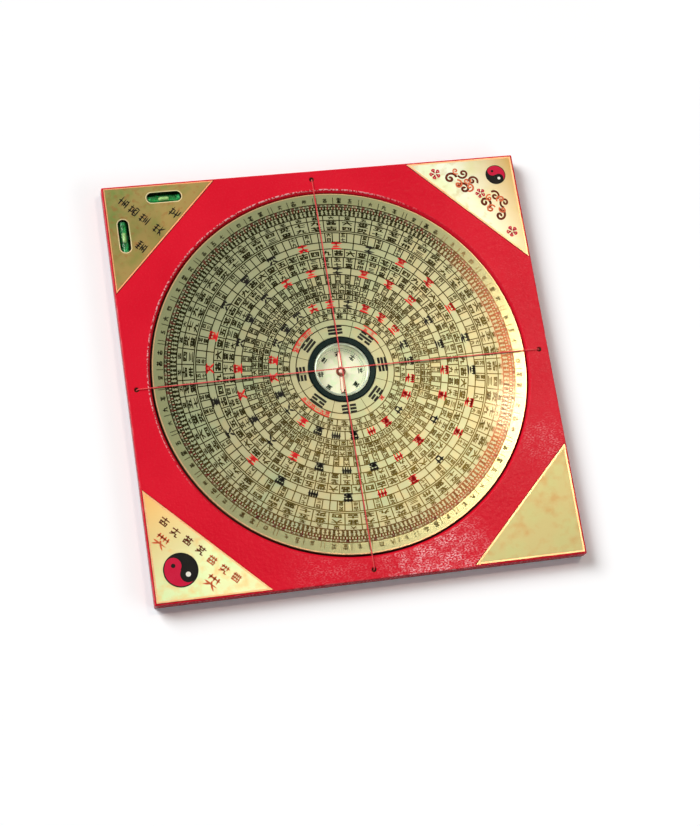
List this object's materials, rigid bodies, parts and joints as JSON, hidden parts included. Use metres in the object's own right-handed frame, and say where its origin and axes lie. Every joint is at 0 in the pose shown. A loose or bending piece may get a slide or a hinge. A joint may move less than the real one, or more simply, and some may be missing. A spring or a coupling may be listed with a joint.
{
  "type": "feng shui compass",
  "caption": "Square board with a round turning dial, a magnetic needle in a glazed capsule at its middle, crossed sighting threads, and spirit levels in one corner plate.",
  "frame": {"origin": "middle of the underside of the board", "axes": "+Z out of the dial's face, +Y towards the board's north edge, +X towards its east edge"},
  "size_m": [0.25, 0.25, 0.0126],
  "materials": {
    "red_lacquer": "glossy red lacquer with a fine pebbled skin",
    "dark_board": "dark red board, satin",
    "gold_plate": "brushed pale gold, glossy",
    "gold_face": "brushed greenish gold with printed rings",
    "dark_core": "black moulded core, satin",
    "clear_tube": "clear polished tube",
    "green_spirit": "clear green liquid",
    "air_bubble": "clear",
    "red_thread": "twisted red thread",
    "bright_brass": "turned, bright",
    "printed_card": "matt printed card",
    "needle_steel": "polished",
    "cover_glass": "clear polished",
    "bright_ring": "bright plated",
    "black_enamel": "gloss black",
    "dark_copper": "dark brown, satin"
  },
  "bodies": {
    "base": {"base_frame": "red_lacquer", "backing_panel": "dark_board", "corner_plate_nw": "gold_plate", "corner_plate_ne": "gold_plate", "corner_plate_sw": "gold_plate", "corner_plate_se": "gold_plate", "level_x_tube": "clear_tube", "level_x_plug": "clear_tube", "level_x_spirit": "green_spirit", "level_y_tube": "clear_tube", "level_y_plug": "clear_tube", "level_y_spirit": "green_spirit", "thread_ns": "red_thread", "thread_ew": "red_thread"},
    "dial": {"dial_core": "dark_core", "dial_face": "gold_face", "capsule_cup": "bright_brass", "capsule_card": "printed_card", "pivot_pin": "needle_steel", "capsule_glass": "cover_glass", "glass_ring": "bright_ring", "capsule_bezel": "black_enamel"},
    "needle": {"needle_cap": "bright_brass", "needle_blade": "needle_steel", "needle_ring": "dark_copper"},
    "bubble_x": {"level_x_bubble": "air_bubble"},
    "bubble_y": {"level_y_bubble": "air_bubble"}
  },
  "joints": [
    {"name": "dial_turn", "type": "hinge", "parent": "base", "child": "dial", "pos_m": [0, 0, 0.0023], "axis": [0, 0, 1], "continuous": true},
    {"name": "needle_swing", "type": "hinge", "parent": "dial", "child": "needle", "pos_m": [0, 0, 0.0058], "axis": [0, 0, 1], "continuous": true},
    {"name": "level_x_slide", "type": "slide", "parent": "base", "child": "bubble_x", "axis": [1, 0, 0], "range_m": [-0.005, 0.005], "stiffness_N_per_m": 0.002},
    {"name": "level_y_slide", "type": "slide", "parent": "base", "child": "bubble_y", "axis": [0, 1, 0], "range_m": [-0.005, 0.005], "stiffness_N_per_m": 0.002}
  ]
}
